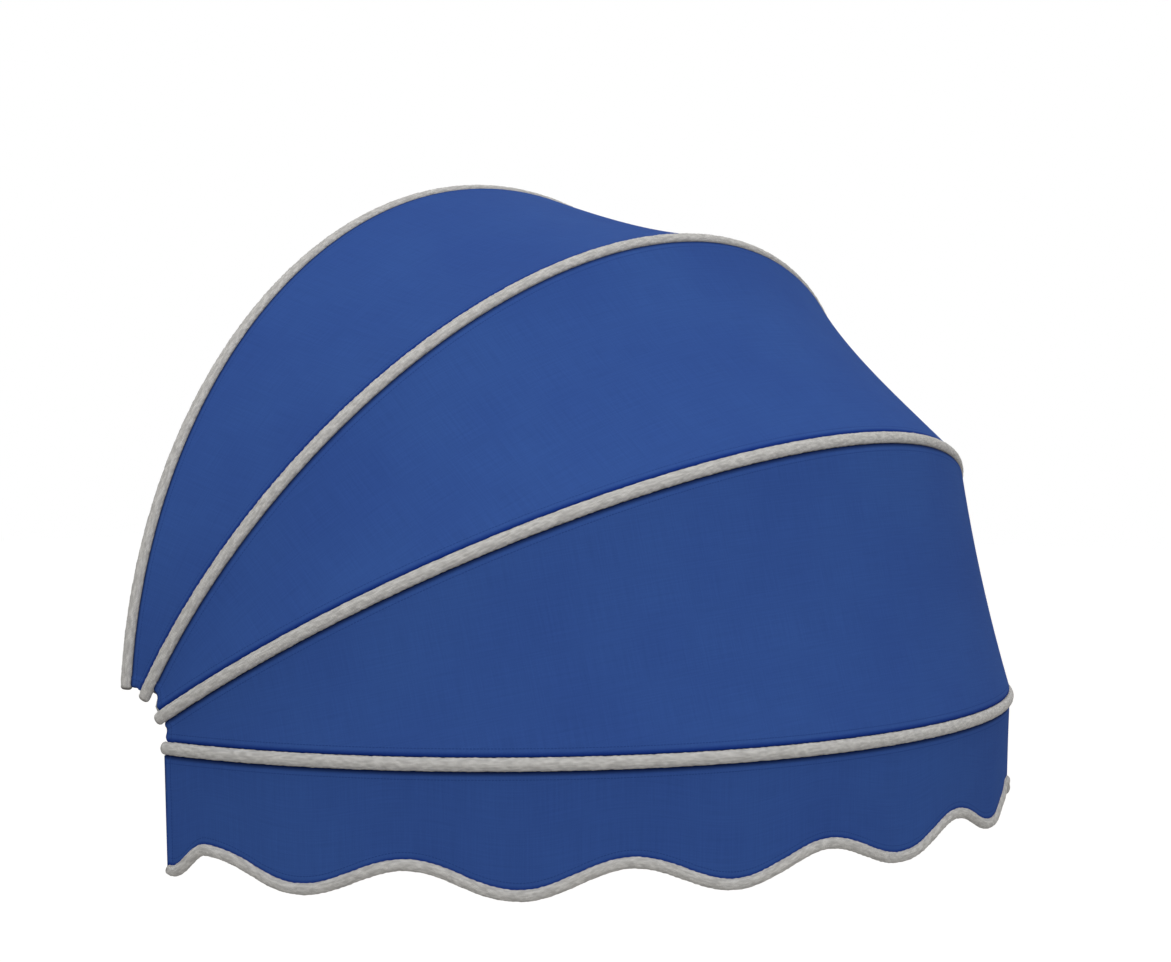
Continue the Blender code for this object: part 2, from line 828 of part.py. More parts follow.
bow_names = ("wall", "upper", "middle", "front")
holders = (frame, *pivots)
for number, (name, angle, holder) in enumerate(zip(bow_names, FAN_ANGLES, holders)):
    lean = leaning(angle)
    fit(moved(bow_tube(), lean), name + "_bow", ALUMINIUM, holder)
    fit(moved(bow_piping(), lean), name + "_piping", BRAID, holder)
    if number:
        both_sides(moved(hinge_arm(number), lean), name + "_hinge_arm", CASTING, holder)
        fit(moved(guide_eye(), lean), name + "_cord_eye", NYLON, holder)

for number, name in enumerate(("upper", "middle", "lower")):
    panel = canopy_panel(*FAN_ANGLES[number : number + 2])
    fit(panel, "canopy_panel_" + name, CANVAS, holders[number])

fit(valance(), "valance", CANVAS, pivots[2])
fit(edging(), "valance_edging", BRAID, pivots[2])

both_sides(hinge_bracket(), "hinge_bracket", CASTING, frame)
for name, piece in bolt_stack().items():
    both_sides(piece, name, NYLON if "washer" in name else STEEL, frame)

for name, step in zip(("left", "top", "right"), CLIP_STEPS):
    turn = Matrix.Rotation((step + 0.5) * STEP - pi / 2, 4, "Y")
    fit(moved(wall_clip(), turn), "wall_clip_" + name, CASTING, frame)

for piece, name, finish in zip(
    pulley(),
    ("pulley_bracket", "pulley_wheel", "pulley_axle"),
    (CASTING, NYLON, STEEL),
):
    fit(piece, name, finish, frame)

bpy.data.collections.remove(helpers)
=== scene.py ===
import json
import math

import bpy
import numpy as np
from mathutils import Matrix

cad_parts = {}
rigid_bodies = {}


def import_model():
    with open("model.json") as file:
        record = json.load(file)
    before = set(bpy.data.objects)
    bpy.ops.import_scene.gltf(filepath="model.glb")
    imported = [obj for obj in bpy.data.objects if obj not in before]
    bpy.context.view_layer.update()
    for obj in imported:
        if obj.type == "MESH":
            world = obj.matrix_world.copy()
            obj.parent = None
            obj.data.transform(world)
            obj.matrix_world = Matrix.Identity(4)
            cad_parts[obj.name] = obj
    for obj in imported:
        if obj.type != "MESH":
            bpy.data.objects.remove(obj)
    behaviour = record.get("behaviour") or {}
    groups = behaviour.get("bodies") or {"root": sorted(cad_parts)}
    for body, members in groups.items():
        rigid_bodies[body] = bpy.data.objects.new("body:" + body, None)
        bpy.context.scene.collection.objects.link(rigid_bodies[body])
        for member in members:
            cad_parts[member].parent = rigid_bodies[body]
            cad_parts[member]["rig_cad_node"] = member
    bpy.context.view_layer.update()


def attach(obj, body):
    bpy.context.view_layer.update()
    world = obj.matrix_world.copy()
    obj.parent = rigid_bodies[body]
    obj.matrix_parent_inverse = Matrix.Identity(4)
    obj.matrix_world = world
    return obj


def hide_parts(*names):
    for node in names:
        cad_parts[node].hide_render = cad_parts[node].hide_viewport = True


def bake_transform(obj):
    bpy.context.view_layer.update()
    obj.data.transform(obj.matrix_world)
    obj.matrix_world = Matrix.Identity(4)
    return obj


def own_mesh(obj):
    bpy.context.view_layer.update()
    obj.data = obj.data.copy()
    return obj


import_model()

# A folding window awning: four half-round bows on one axis, blue canvas between
# them, grey braid over each seam and along the wavy foot of the valance.
# Metres; the wall is the plane y = 0, x runs along it, z is up.

print("frame loaded")

# The fan

fan = {
    "axisY": -0.014,        # the bows' common axis, in front of the wall
    "axisZ": -0.765769,
    "leans": (0, 30, 60, 90),   # degrees from the wall
    "bodies": ("wall_frame", "upper_bow_set", "middle_bow_set", "front_bow_set"),
    "names": ("Wall", "Upper", "Middle", "Front"),
    "clipArcs": (43.333, 90, 136.667),   # degrees along the wall bow
    "eyeArcs": (90,),       # along each loose bow
}
centre = np.array([0, fan["axisY"], fan["axisZ"]])


def bowPoint(radius, arc, lean, aside=0.0):
    # x is minus the cosine of the arc angle. The sine points up at lean 0 and
    # out from the wall at lean 90; aside steps off the bow's plane, forwards
    rise = radius * np.sin(arc)
    return np.stack(
        np.broadcast_arrays(
            -radius * np.cos(arc),
            fan["axisY"] - rise * np.sin(lean) - aside * np.cos(lean),
            fan["axisZ"] + rise * np.cos(lean) - aside * np.sin(lean),
        ),
        -1,
    )


def radians(degrees):
    return np.radians(np.asarray(degrees, float))


def lengthsAlong(points, axis):
    # running length of the lines through a grid of points, from nought
    steps = np.linalg.norm(np.diff(points, axis=axis), axis=-1)
    first = np.zeros_like(np.take(steps, [0], axis))
    return np.cumsum(np.concatenate([first, steps], axis), axis)


def areaOf(grid):
    # the sum of the grid's cells, each as large as the cross product of two sides
    down = grid[1:, :-1] - grid[:-1, :-1]
    over = grid[:-1, 1:] - grid[:-1, :-1]
    return round(float(np.sum(np.linalg.norm(np.cross(down, over), axis=-1))), 4)


def unit(vectors):
    return vectors / np.maximum(np.linalg.norm(vectors, axis=-1, keepdims=True), 1e-12)


def smooth(value):
    # eases from 0 to 1
    value = np.clip(value, 0, 1)
    return value * value * (3 - 2 * value)


# Meshes


def ringPiece(name, rings, across, along, finish, loop=False, values=None):
    # rings is a grid of closed sections, section by section. Faces join each
    # section to the next; the two ends are zipped shut, or joined in a loop.
    # across and along give the UV of each corner, in metres
    count, size = rings.shape[:2]
    spans = count if loop else count - 1
    i, j = np.meshgrid(np.arange(spans), np.arange(size), indexing="ij")
    nextI, nextJ = (i + 1) % count, (j + 1) % size
    corners = np.stack(
        [i * size + j, nextI * size + j, nextI * size + nextJ, i * size + nextJ], -1
    ).reshape(-1, 4)
    wide = size + 1
    uvCorners = np.stack(
        [i * wide + j, (i + 1) * wide + j, (i + 1) * wide + j + 1, i * wide + j + 1], -1
    ).reshape(-1, 4)
    if not loop:
        k = np.arange(size // 2 - 1)
        zipped = np.stack([k, k + 1, size - 2 - k, size - 1 - k], -1)
        last = (count - 1) * size + zipped[:, ::-1]
        corners = np.concatenate([corners, zipped, last])
        uvLast = (count - 1) * wide + zipped[:, ::-1]
        uvCorners = np.concatenate([uvCorners, zipped, uvLast])
    points = rings.reshape(-1, 3)
    a, b, c, d = (points[corners[:, n]] for n in range(4))
    volume = np.sum(a * np.cross(b, c) + a * np.cross(c, d))
    if volume < 0:
        corners, uvCorners = corners[:, ::-1], uvCorners[:, ::-1]
    mesh = bpy.data.meshes.new(name)
    mesh.vertices.add(len(points))
    mesh.vertices.foreach_set("co", points.ravel())
    mesh.loops.add(corners.size)
    mesh.loops.foreach_set("vertex_index", corners.ravel().astype(np.int32))
    mesh.polygons.add(len(corners))
    mesh.polygons.foreach_set("loop_start", np.arange(0, corners.size, 4, dtype=np.int32))
    mesh.update(calc_edges=True)
    mesh.polygons.foreach_set("use_smooth", np.ones(len(corners), bool))
    uvGrid = np.stack(np.broadcast_arrays(along, across), -1)
    uvs = uvGrid.reshape(-1, 2)[uvCorners.ravel()]
    layer = mesh.uv_layers.new(name="cloth")
    layer.data.foreach_set("uv", uvs.ravel().astype(np.float32))
    for key, value in (values or {}).items():
        held = mesh.attributes.new(key, "FLOAT", "POINT")
        held.data.foreach_set("value", np.ravel(value).astype(np.float32))
    mesh.validate()
    obj = bpy.data.objects.new(name, mesh)
    bpy.context.scene.collection.objects.link(obj)
    mesh.materials.append(finish)
    return obj


def shellPiece(name, middle, thickness, finish, values=None):
    # a cloth: a grid of points through its middle, pushed half its thickness
    # both ways along the surface's own normal, and closed round its edges
    down, over = np.gradient(middle, axis=0), np.gradient(middle, axis=1)
    push = unit(np.cross(down, over)) * (np.asarray(thickness)[..., None] / 2)
    rings = np.concatenate([middle + push, (middle - push)[:, ::-1]], 1)
    over = lengthsAlong(middle, 1)
    over = over - over[:, -1:] / 2
    across = np.concatenate([over, over[:, ::-1], over[:, :1]], 1)
    run = lengthsAlong(middle, 0)
    along = run[:, middle.shape[1] // 2][:, None] + np.zeros_like(across)
    doubled = {
        key: np.concatenate([value, value[:, ::-1]], 1)
        for key, value in (values or {}).items()
    }
    return ringPiece(name, rings, across, along, finish, values=doubled)


def framesAlong(path, upright):
    # two directions square to the path at each point: one near upright, and
    # the one across it
    ahead = unit(np.gradient(path, axis=0))
    side = unit(np.cross(ahead, upright))
    return unit(np.cross(side, ahead)), side


# Finishes


def linear(code):
    # sRGB hex to linear light: a straight foot below 0.04045, a 2.4 power above
    parts = [int(code[k : k + 2], 16) / 255 for k in (1, 3, 5)]
    return [
        *(p / 12.92 if p <= 0.04045 else ((p + 0.055) / 1.055) ** 2.4 for p in parts),
        1,
    ]


def addNode(tree, kind, inputs=None, **settings):
    # one node: its settings, then numbers, colours or links into its sockets
    node = tree.nodes.new("ShaderNode" + kind)
    for key, value in settings.items():
        setattr(node, key, value)
    for key, value in (inputs or {}).items():
        socket = node.inputs[key]
        if isinstance(value, bpy.types.NodeSocket):
            tree.links.new(value, socket)
        else:
            socket.default_value = value
    return node


def worked(tree, operation, first, second=0.0, third=0.0):
    # a sum of numbers or sockets
    sums = addNode(tree, "Math", {0: first, 1: second, 2: third}, operation=operation)
    return sums.outputs[0]


def ranged(tree, value, low, high, start, end, curve="LINEAR"):
    # low to high becomes start to end, and stays there beyond them
    span = {"From Min": low, "From Max": high, "To Min": start, "To Max": end}
    node = addNode(tree, "MapRange", {"Value": value, **span}, interpolation_type=curve)
    return node.outputs[0]


def toned(tree, factor, first, second):
    # from the first colour to the second, each in hex or a socket
    one, two = (linear(c) if isinstance(c, str) else c for c in (first, second))
    node = addNode(tree, "Mix", {"Factor": factor, 6: one, 7: two}, data_type="RGBA")
    return node.outputs[2]


def clouded(tree, place, scale, detail):
    # soft noise from 0 to 1, scale lumps to the metre
    node = addNode(tree, "TexNoise", {"Vector": place, "Scale": scale, "Detail": detail})
    return node.outputs["Fac"]


def bumped(tree, shader, height, strength, distance, **more):
    inputs = {"Height": height, "Strength": strength, "Distance": distance, **more}
    bump = addNode(tree, "Bump", inputs)
    tree.links.new(bump.outputs[0], shader.inputs["Normal"])


def newFinish(name, rough, metal=0.0, **more):
    # more gives further inputs of the shader, with _ for each space
    finish = bpy.data.materials.new(name)
    finish.use_nodes = True
    tree = finish.node_tree
    shader = tree.nodes["Principled BSDF"]
    shader.inputs["Roughness"].default_value = rough
    shader.inputs["Metallic"].default_value = metal
    for key, value in more.items():
        shader.inputs[key.replace("_", " ")].default_value = value
    return finish, tree, shader


canvas = {
    "body": "#345398",
    "faded": "#395b9f",
    "shade": "#13234f",    # painted shade under a braid, where the cloth tucks in
    "paintedCreaseShade": "#13307f",   # painted shade where the cloth turns up against the next braid
    "thread": "#2a4788",
    "threadSpacing": 0.0011,   # real one is about 0.5 mm: drawn twice as coarse, to show
    "slub": (14, 520),     # streaks to the metre, along a thread and across it
    "slubTone": (0.93, 1.07),   # darkest and lightest streak
    "fade": (5.0, 0.55),   # clouds to the metre, and most of the faded colour in one
    "tuck": (0.0132, 0.0196),   # from the seam: painted shade up to here, plain from here
    "tuckShadeShare": 0.95,     # of the painted shade colour
    "rim": 0.006,          # width of the painted shade along an end
    "rimShare": 0.7,
    "stitchLength": 0.0042,
    "stitchHalf": 0.0006,  # half its width
    "seamStitch": 0.0225,  # from the seam to the row of stitches
    "endStitch": 0.0105,   # from an end to the row
    "bump": 0.0004,
}


def wovenCanvas():
    # Solution-dyed acrylic, plain weave: matt, uneven threads, with painted shade
    # beside each seam, where the cloth tucks in under a braid
    finish, tree, shader = newFinish("woven acrylic canvas", 0.92, Specular_IOR_Level=0.04)
    uv = addNode(tree, "UVMap", uv_map="cloth").outputs["UV"]
    split = addNode(tree, "SeparateXYZ", {"Vector": uv})
    turn = 2 * math.pi / canvas["threadSpacing"]
    warp, weft = (
        worked(tree, "SINE", worked(tree, "MULTIPLY", split.outputs[way], turn)) for way in "XY"
    )
    weave = worked(tree, "MULTIPLY", warp, weft)
    # slubs: long thin streaks both ways
    along, over = canvas["slub"]
    streaks = []
    for stretch in ((along, over, 1), (over, along, 1)):
        mapped = addNode(tree, "Mapping", {"Vector": uv, "Scale": stretch})
        streaks.append(clouded(tree, mapped.outputs[0], 1.0, 2.0))
    slub = worked(tree, "ADD", streaks[0], streaks[1])
    place = addNode(tree, "TexCoord").outputs["Object"]
    lumps, most = canvas["fade"]
    fade = ranged(tree, clouded(tree, place, lumps, 3.0), 0.35, 0.65, 0.0, most)
    base = toned(tree, fade, canvas["body"], canvas["faded"])
    value = ranged(tree, slub, 0.7, 1.3, *canvas["slubTone"])
    varied = addNode(tree, "HueSaturation", {"Value": value, "Color": base})
    # painted shade where it tucks in beside the seam, and at its ends
    seam = addNode(tree, "Attribute", attribute_name="seamGap").outputs["Fac"]
    tuck = ranged(tree, seam, *canvas["tuck"], canvas["tuckShadeShare"], 0.0, "SMOOTHSTEP")
    # the painted shade is darkest under a braid, and bluer where the cloth turns up to the next
    # one
    side = addNode(tree, "Attribute", attribute_name="across").outputs["Fac"]
    lower = worked(tree, "GREATER_THAN", side, 0.5)
    shadeColour = toned(tree, lower, canvas["shade"], canvas["paintedCreaseShade"])
    # painted shade along the cloth's ends, where the hem turns away
    edge = addNode(tree, "Attribute", attribute_name="endGap").outputs["Fac"]
    rim = ranged(tree, edge, 0.0, canvas["rim"], canvas["rimShare"], 0.0, "SMOOTHSTEP")
    dark = worked(tree, "MAXIMUM", tuck, rim)
    withPaintedShade = toned(tree, dark, varied.outputs[0], shadeColour)
    # stitches: a dashed line at a fixed distance from the seam and from the end
    rows = ((seam, "X", canvas["seamStitch"]), (edge, "Y", canvas["endStitch"]))
    dashes = []
    for gap, run, at in rows:
        off = worked(tree, "ABSOLUTE", worked(tree, "SUBTRACT", gap, at))
        near = worked(tree, "LESS_THAN", off, canvas["stitchHalf"])
        pace = 2 * math.pi / canvas["stitchLength"]
        beat = worked(tree, "SINE", worked(tree, "MULTIPLY", split.outputs[run], pace))
        beat = worked(tree, "GREATER_THAN", beat, -0.55)
        dashes.append(worked(tree, "MULTIPLY", near, beat))
    dash = worked(tree, "MAXIMUM", dashes[0], dashes[1])
    stitched = toned(tree, dash, withPaintedShade, canvas["thread"])
    tree.links.new(stitched, shader.inputs["Base Color"])
    height = worked(tree, "MULTIPLY_ADD", weave, 0.5, dash)
    bumped(tree, shader, height, 0.35, canvas["bump"])
    return finish


braid = {
    "yarn": "#c4c2bf",
    "light": "#e8e6e2",
    # the gap colour is painted shade between the strands
    "gap": "#9f9d9a",
    "endShade": "#57544f",   # painted shade on the cut ends
    "endShadeReach": (0.0004, 0.0055),   # from the end: painted shade up to here, plain from here
    "strands": 24,         # diamonds round the cord
    "lay": 0.70,           # how much shorter the pattern's step is along it
    "slant": (75, 300, 38),   # patches of yarn to the metre both ways, and their angle
    "fibre": 1500.0,       # to the metre
    "bump": 0.0006,
}


def braidedPolyester(girth):
    # Round braid of spun polyester over a soft core: matt, hairy, pale yarn on the
    # crowns of the strands and painted shade between them. Diamond cells on the UV
    # turned by 45 degrees: in every other cell the other strand lies on top
    finish, tree, shader = newFinish(
        "braided polyester", 0.85, Sheen_Weight=0.05, Specular_IOR_Level=0.2
    )
    uv = addNode(tree, "UVMap", uv_map="cloth").outputs["UV"]
    turns = math.sqrt(2) * braid["strands"] / girth
    grid = {"Scale": (turns * braid["lay"], turns, 1), "Rotation": (0, 0, math.pi / 4)}
    cells = addNode(tree, "Mapping", {"Vector": uv, **grid}).outputs[0]
    split = addNode(tree, "SeparateXYZ", {"Vector": cells})
    one, two = (worked(tree, "PINGPONG", split.outputs[way], 0.5) for way in "XY")
    which = addNode(tree, "TexChecker", {"Vector": cells, "Scale": 1.0})
    ridge = addNode(tree, "Mix", {"Factor": which.outputs["Fac"], 2: one, 3: two})
    shade = ranged(tree, ridge.outputs[0], 0.02, 0.3, 0.0, 1.0, "SMOOTHSTEP")
    # yarns of uneven tone, in long patches that lie slantwise as the strands do
    along, over, angle = braid["slant"]
    lie = {"Scale": (along, over, 1), "Rotation": (0, 0, math.radians(angle))}
    slant = addNode(tree, "Mapping", {"Vector": uv, **lie}).outputs[0]
    light = ranged(tree, clouded(tree, slant, 1.0, 3.0), 0.38, 0.62, 0.0, 1.0)
    yarn = toned(tree, light, braid["yarn"], braid["light"])
    # painted shade in the dips between the strands
    colour = toned(tree, shade, braid["gap"], yarn)
    # painted shade on the blunt ends of the cord
    edge = addNode(tree, "Attribute", attribute_name="endGap").outputs["Fac"]
    cut = ranged(tree, edge, *braid["endShadeReach"], 1.0, 0.0, "SMOOTHSTEP")
    tree.links.new(toned(tree, cut, colour, braid["endShade"]), shader.inputs["Base Color"])
    place = addNode(tree, "TexCoord").outputs["Object"]
    fibre = clouded(tree, place, braid["fibre"], 2.0)
    height = worked(tree, "MULTIPLY_ADD", fibre, 0.25, shade)
    bumped(tree, shader, height, 0.5, braid["bump"])
    return finish


metals = {
    # name: colour, darker colour, roughness, grain to the metre, strength of the bump
    "mill aluminium": ("#c9cbcc", "#b4b7b9", 0.34, 260.0, 0.08),
    "cast aluminium": ("#b3b5b6", "#9c9fa1", 0.52, 900.0, 0.30),
    "zinc-plated steel": ("#c2c6c4", "#a3a9a8", 0.30, 380.0, 0.10),
}
nylon = {"pale": "#e9e6de", "dark": "#dcd8ce"}
fitting = {
    "edge": 0.0006,        # radius of the softened edges
    "cloud": 45.0,         # patches of the two tones, to the metre
    "bump": 0.0006,
}


def softEdges(tree):
    return addNode(tree, "Bevel", {"Radius": fitting["edge"]}, samples=4).outputs[0]


def metalFinish(name):
    # mill: drawn tube with fine lines; cast: blasted skin, fine pits; zinc: a
    # bright plate with faint cloudy spangle
    pale, dark, rough, grain, strength = metals[name]
    finish, tree, shader = newFinish(name, rough, 1.0)
    place = addNode(tree, "TexCoord").outputs["Object"]
    fine = clouded(tree, place, grain, 4.0)
    cloud = clouded(tree, place, fitting["cloud"], 3.0)
    tree.links.new(toned(tree, cloud, pale, dark), shader.inputs["Base Color"])
    uneven = ranged(tree, cloud, 0.3, 0.7, rough - 0.06, rough + 0.1)
    tree.links.new(uneven, shader.inputs["Roughness"])
    bumped(tree, shader, fine, strength, fitting["bump"], Normal=softEdges(tree))
    return finish


def mouldedNylon():
    # Moulded nylon: off-white, waxy half gloss, faint flow marks
    finish, tree, shader = newFinish(
        "moulded nylon", 0.42, IOR=1.53, Subsurface_Weight=0.1,
        Subsurface_Radius=(0.002, 0.0018, 0.0015), Subsurface_Scale=1.0,
    )
    place = addNode(tree, "TexCoord").outputs["Object"]
    cloud = clouded(tree, place, 60.0, 3.0)
    tree.links.new(toned(tree, cloud, nylon["pale"], nylon["dark"]), shader.inputs["Base Color"])
    bumped(tree, shader, cloud, 0.1, fitting["bump"], Normal=softEdges(tree))
    return finish


canvasFinish = wovenCanvas()
millFinish = metalFinish("mill aluminium")
castFinish = metalFinish("cast aluminium")
zincFinish = metalFinish("zinc-plated steel")
nylonFinish = mouldedNylon()
print("finishes made")

# Braided piping

piping = {
    "radius": 0.8019,      # middle of the braid, from the common axis
    "width": 0.0170,
    "height": 0.0135,
    "start": (0.0700, 0.0690, 0.0714, 0.0716),   # how far off the axis each one ends
    "uneven": 0.00022,     # the core swells and thins by this much
    "end": 0.0042,         # radius of the softly rounded ends
    "round": 40,
    "step": 0.0013,
    "strands": 6,          # each way round, over and under one another
    "lay": 0.0090,         # along the cord, from one strand to the next
    "relief": 0.00030,     # how far the strands stand out
}


def braidedCord(name, path, upright, width, height, body, node):
    # an oval section carried along the path, a little uneven, as a braid over
    # a soft core is. Both ends draw in along a quarter round to a blunt tip
    rise, side = framesAlong(path, upright)
    run = lengthsAlong(path, 0)
    around = np.arange(piping["round"]) * 2 * math.pi / piping["round"]
    length = run[:, None]
    swell = piping["uneven"] * (
        np.sin(length * 171 + 2 * around) * np.sin(length * 43 + 1.3)
        + 0.6 * np.sin(length * 410 - 3 * around)
    )
    fromEnd = np.minimum(run, run[-1] - run)[:, None]
    inset = np.clip(fromEnd / piping["end"], 0, 1)
    draw = piping["end"] * (1 - np.sqrt(np.clip(1 - (1 - inset) ** 2, 0, 1)))
    # the strands that run each way round take turns at lying on top
    turn, lay = piping["strands"] * around, length * 2 * math.pi / piping["lay"]
    over = 0.5 + 0.25 * (np.cos(turn) + np.cos(lay))
    strand = over * np.cos(turn + lay) + (1 - over) * np.cos(turn - lay)
    swell = swell + piping["relief"] * inset * strand
    tall = height / 2 + swell - draw
    wide = width / 2 + swell - draw
    rings = (
        path[:, None]
        + rise[:, None] * (tall * np.cos(around))[..., None]
        + side[:, None] * (wide * np.sin(around))[..., None]
    )
    girth = (width + height) / 2 * math.pi
    across = np.linspace(0, girth, piping["round"] + 1)[None] + 0 * length
    obj = ringPiece(
        name, rings, across, length + 0 * across, braidedFinish(girth),
        values={"endGap": fromEnd + np.zeros(rings.shape[:2])},
    )
    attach(obj, body)
    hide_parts(node)
    return obj


braidFinishes = {}


def braidedFinish(girth):
    # one finish for each thickness of cord, so that its pattern closes round it
    if girth not in braidFinishes:
        braidFinishes[girth] = braidedPolyester(girth)
    return braidFinishes[girth]


def endSteps(length, step, fine=0.0003, bends=7):
    # places along a cord: close together in its rounded ends, then even
    close = np.cumsum(np.geomspace(fine, step, bends))
    middle = np.linspace(close[-1], length - close[-1], int(length / step))
    return np.concatenate([[0], close[:-1], middle, (length - close[:-1])[::-1], [length]])


for name, lean, body, start in zip(fan["names"], fan["leans"], fan["bodies"], piping["start"]):
    first = math.asin(start / piping["radius"])
    span = (math.pi - 2 * first) * piping["radius"]
    arcs = first + endSteps(span, piping["step"]) / piping["radius"]
    path = bowPoint(piping["radius"], arcs, radians(lean))
    outward = unit(path - centre)
    braidedCord(
        "piping" + name, path, outward, piping["width"], piping["height"],
        body, name.lower() + "_piping",
    )
print("piping made")

# Bow tubes and their pockets

tube = {
    "radius": 0.7824,      # the bow's middle line
    "half": 0.0100,
    "wall": 0.0015,
    "start": 0.098,
    "round": 28,
    "steps": 150,
}
pocket = {
    "half": 0.0107,        # cloth round the tube
    "peak": 0.0117,        # to the seam above it
    "cloth": 0.0006,
    "start": 0.150,
    "eyeGap": 0.020,       # left open on each side of a cord eye or a clip
    "seamGap": 0.05,       # how far from a seam its finish takes it to be: plain there, without the painted seam shade
    "round": 32,
    "steps": 70,
}


def hollowSweep(name, path, upright, outer, inner, finish):
    # an outer and an inner outline carried along the path, out and back again,
    # and joined in a loop: a pipe with open ends
    rise, side = framesAlong(path, upright)
    layers = []
    for outline in (outer, inner):
        layers.append(
            path[:, None]
            + rise[:, None] * outline[None, :, :1]
            + side[:, None] * outline[None, :, 1:]
        )
    rings = np.concatenate([layers[0], layers[1][::-1]])
    run = lengthsAlong(path, 0)
    along = np.concatenate([run, run[::-1], run[:1]])
    girth = float(lengthsAlong(np.concatenate([outer, outer[:1]]), 0)[-1])
    across = np.linspace(0, girth, len(outer) + 1)
    endGap = np.minimum(along[:-1], run[-1] - along[:-1])[:, None]
    return ringPiece(
        name, rings, across[None] + 0 * along[:, None], along[:, None] + 0 * across[None],
        finish, loop=True,
        values={
            "seamGap": np.full(rings.shape[:2], pocket["seamGap"]),
            "endGap": endGap + np.zeros(rings.shape[:2]),
        },
    )


def circle(half):
    turn = np.arange(tube["round"]) * 2 * math.pi / tube["round"]
    return np.stack([half * np.cos(turn), half * np.sin(turn)], -1)


def teardrop(half, peak):
    # a circle with two tangents to one peak: half over the cosine of the
    # angle left to the tangent's foot
    turn = np.arange(pocket["round"]) * 2 * math.pi / pocket["round"]
    off = np.abs((turn + math.pi) % (2 * math.pi) - math.pi)
    foot = math.acos(half / peak)
    reach = np.where(off < foot, half / np.cos(foot - off), half)
    return np.stack([reach * np.cos(turn), reach * np.sin(turn)], -1)


first = math.asin(tube["start"] / tube["radius"])
arcs = np.linspace(first, math.pi - first, tube["steps"])
for number, (name, lean, body) in enumerate(zip(fan["names"], fan["leans"], fan["bodies"])):
    path = bowPoint(tube["radius"], arcs, radians(lean))
    pipe = hollowSweep(
        "bowTube" + name, path, unit(path - centre),
        circle(tube["half"]), circle(tube["half"] - tube["wall"]), millFinish,
    )
    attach(pipe, body)
    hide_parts(name.lower() + "_bow")
    # the pocket leaves the tube bare at the hinges, eyes and clips
    stops = radians(fan["eyeArcs"] if number else fan["clipArcs"])
    gap = pocket["eyeGap"] / tube["radius"]
    low = math.asin(pocket["start"] / tube["radius"])
    edges = [low, *np.ravel([(s - gap, s + gap) for s in stops]), math.pi - low]
    for part in range(len(edges) // 2):
        turns = np.linspace(edges[2 * part], edges[2 * part + 1], pocket["steps"])
        path = bowPoint(tube["radius"], turns, radians(lean))
        sleeve = hollowSweep(
            "bowPocket" + name + str(part + 1), path, unit(path - centre),
            teardrop(pocket["half"], pocket["peak"]),
            teardrop(pocket["half"] - pocket["cloth"], pocket["peak"] - pocket["cloth"]),
            canvasFinish,
        )
        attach(sleeve, body)
print("bows made")

# Canopy panels

panel = {
    "level": 0.8017,       # the cloth leaves the piping at this radius
    "tuck": 0.0010,        # clear of the braid it passes under
    "wrap": 78,            # degrees it follows the braid's underside
    "corner": (0.0004, 0.0002),   # the lip's corner: above that level, out from the braid
    "lip": 0.0045,         # length of the rounded edge beside the braid
    # places along the arc near a cut-out edge, millimetres from it
    "edgeSteps": (0, 0.8, 1.6, 3, 5, 8, 10.5, 12, 13.2, 14.5, 18),
    "steps": 90,           # from there to the top
    "acrossSteps": 26,
    "edgeShare": 0.06,     # of the width, in finer steps at both sides
    "sag": (0.0100, 0.0115, 0.0058),   # pulled in between two bows, at the top
    "skew": (-0.4, 0.9, 0.0),   # above 0: pulled in most nearer its upper bow
    "uneven": 0.0005,
    # how far off the axis each is cut out for the hinge, at four places from
    # its upper bow to its lower one
    "cutOut": (
        (0.0752, 0.0757, 0.0766, 0.0760),
        (0.0915, 0.0885, 0.0832, 0.0806),
        (0.0820, 0.0834, 0.0812, 0.0792),
    ),
    "thickness": 0.0012,
    "hem": 0.0016,         # more, where the cut-out edge is turned over
    "hemWidth": 0.013,
    "hemStep": 0.0012,     # the cloth grows thicker in this length
    "tip": 0.0016,         # and thins at its very edge in this length
    "blendRadius": 0.8,    # the stretched cloth is measured between bows here
    "edgeEase": 0.06,      # the cut-out's shape fades along the arc in this length
    "flat": (0.45, 2.39),  # cut size, with 14 mm for each seam and the two hems
    "flatArea": 0.73,
}


def clothThickness(endGap, hemWidth):
    # thicker where an end is turned over, thinner at its very edge
    hem = smooth((hemWidth - endGap) / panel["hemStep"])
    tip = 0.45 + 0.55 * smooth(endGap / panel["tip"])
    return (panel["thickness"] + panel["hem"] * hem) * tip


